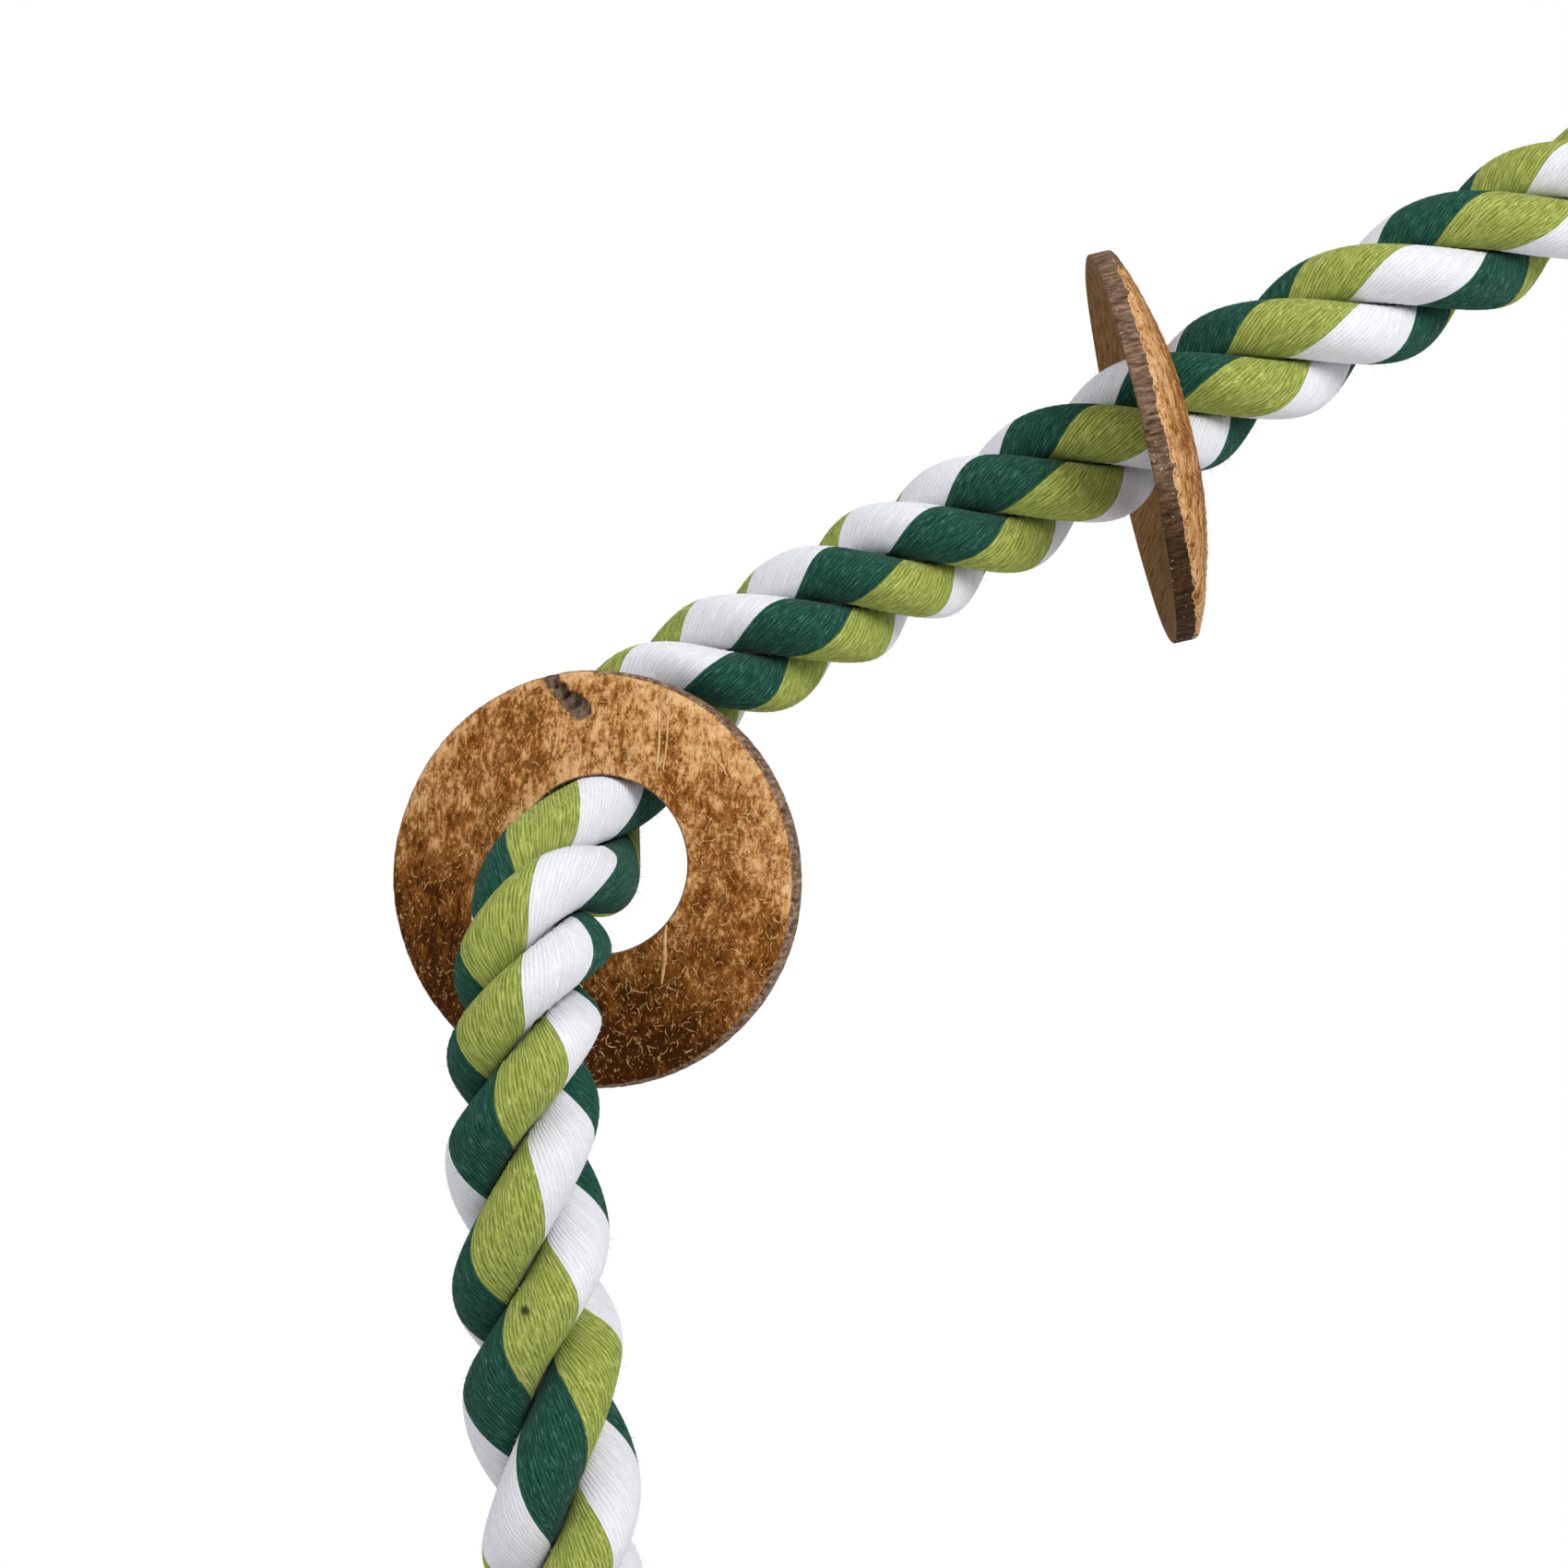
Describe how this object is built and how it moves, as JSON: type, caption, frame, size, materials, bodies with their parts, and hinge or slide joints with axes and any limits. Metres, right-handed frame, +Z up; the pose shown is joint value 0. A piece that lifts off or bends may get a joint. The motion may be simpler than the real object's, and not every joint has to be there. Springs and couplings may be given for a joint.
{
  "type": "bird perch",
  "caption": "Bendable laid-rope bird perch, threaded with coconut-shell discs, with a screw fixing of cap, stud, washers and wing nut at each end.",
  "frame": {"origin": "on the axis of the upper stud, in the middle of its lead-in", "axes": "+Z up, +X to the right and +Y away as the picture shows the perch"},
  "size_m": [0.238, 0.1044, 0.3026],
  "materials": {
    "rope_cotton": "soft matt cotton yarn",
    "coconut_shell": "raw fibrous shell",
    "cap_nylon": "moulded, fine grain",
    "zinc_steel": "zinc plated",
    "core_plastic": "smooth",
    "core_steel": "drawn wire"
  },
  "bodies": {
    "perch": {"rope": "rope_cotton", "core_sheath": "core_plastic", "core_wire": "core_steel", "upper_end_cap": "cap_nylon", "upper_clamp_ring": "zinc_steel", "upper_stud": "zinc_steel", "upper_inner_washer": "zinc_steel", "lower_end_cap": "cap_nylon", "lower_clamp_ring": "zinc_steel", "lower_stud": "zinc_steel", "lower_inner_washer": "zinc_steel"},
    "left_disc": {"disc_left": "coconut_shell"},
    "right_disc": {"disc_right": "coconut_shell"},
    "upper_washer": {"upper_outer_washer": "zinc_steel"},
    "upper_nut": {"upper_wing_nut": "zinc_steel"},
    "lower_washer": {"lower_outer_washer": "zinc_steel"},
    "lower_nut": {"lower_wing_nut": "zinc_steel"}
  },
  "joints": [
    {"name": "left_disc_spin", "type": "hinge", "parent": "perch", "child": "left_disc", "pos_m": [-0.2004, -0.0582, -0.1312], "axis": [-0.2201, -0.9755, 0], "continuous": true},
    {"name": "right_disc_slide", "type": "slide", "parent": "perch", "child": "right_disc", "axis": [0.8608, 0.1629, 0.4821], "range_m": [-0.059, 0.073]},
    {"name": "upper_washer_slide", "type": "slide", "parent": "perch", "child": "upper_washer", "axis": [0.8608, 0.1629, 0.4821], "range_m": [0, 0.01]},
    {"name": "upper_nut_turn", "type": "hinge", "parent": "upper_washer", "child": "upper_nut", "pos_m": [0, 0, 0], "axis": [0.8608, 0.1629, 0.4821], "range_deg": [0, 3600]},
    {"name": "lower_washer_slide", "type": "slide", "parent": "perch", "child": "lower_washer", "axis": [0.1523, 0, -0.9883], "range_m": [0, 0.01]},
    {"name": "lower_nut_turn", "type": "hinge", "parent": "lower_washer", "child": "lower_nut", "pos_m": [-0.19518, -0.0787, -0.28734], "axis": [0.1523, 0, -0.9883], "range_deg": [0, 3600]}
  ],
  "couplings": [
    {"joint": "upper_washer_slide", "follows": "upper_nut_turn", "m_per_rad": 0.00015915},
    {"joint": "lower_washer_slide", "follows": "lower_nut_turn", "m_per_rad": 0.00015915}
  ]
}
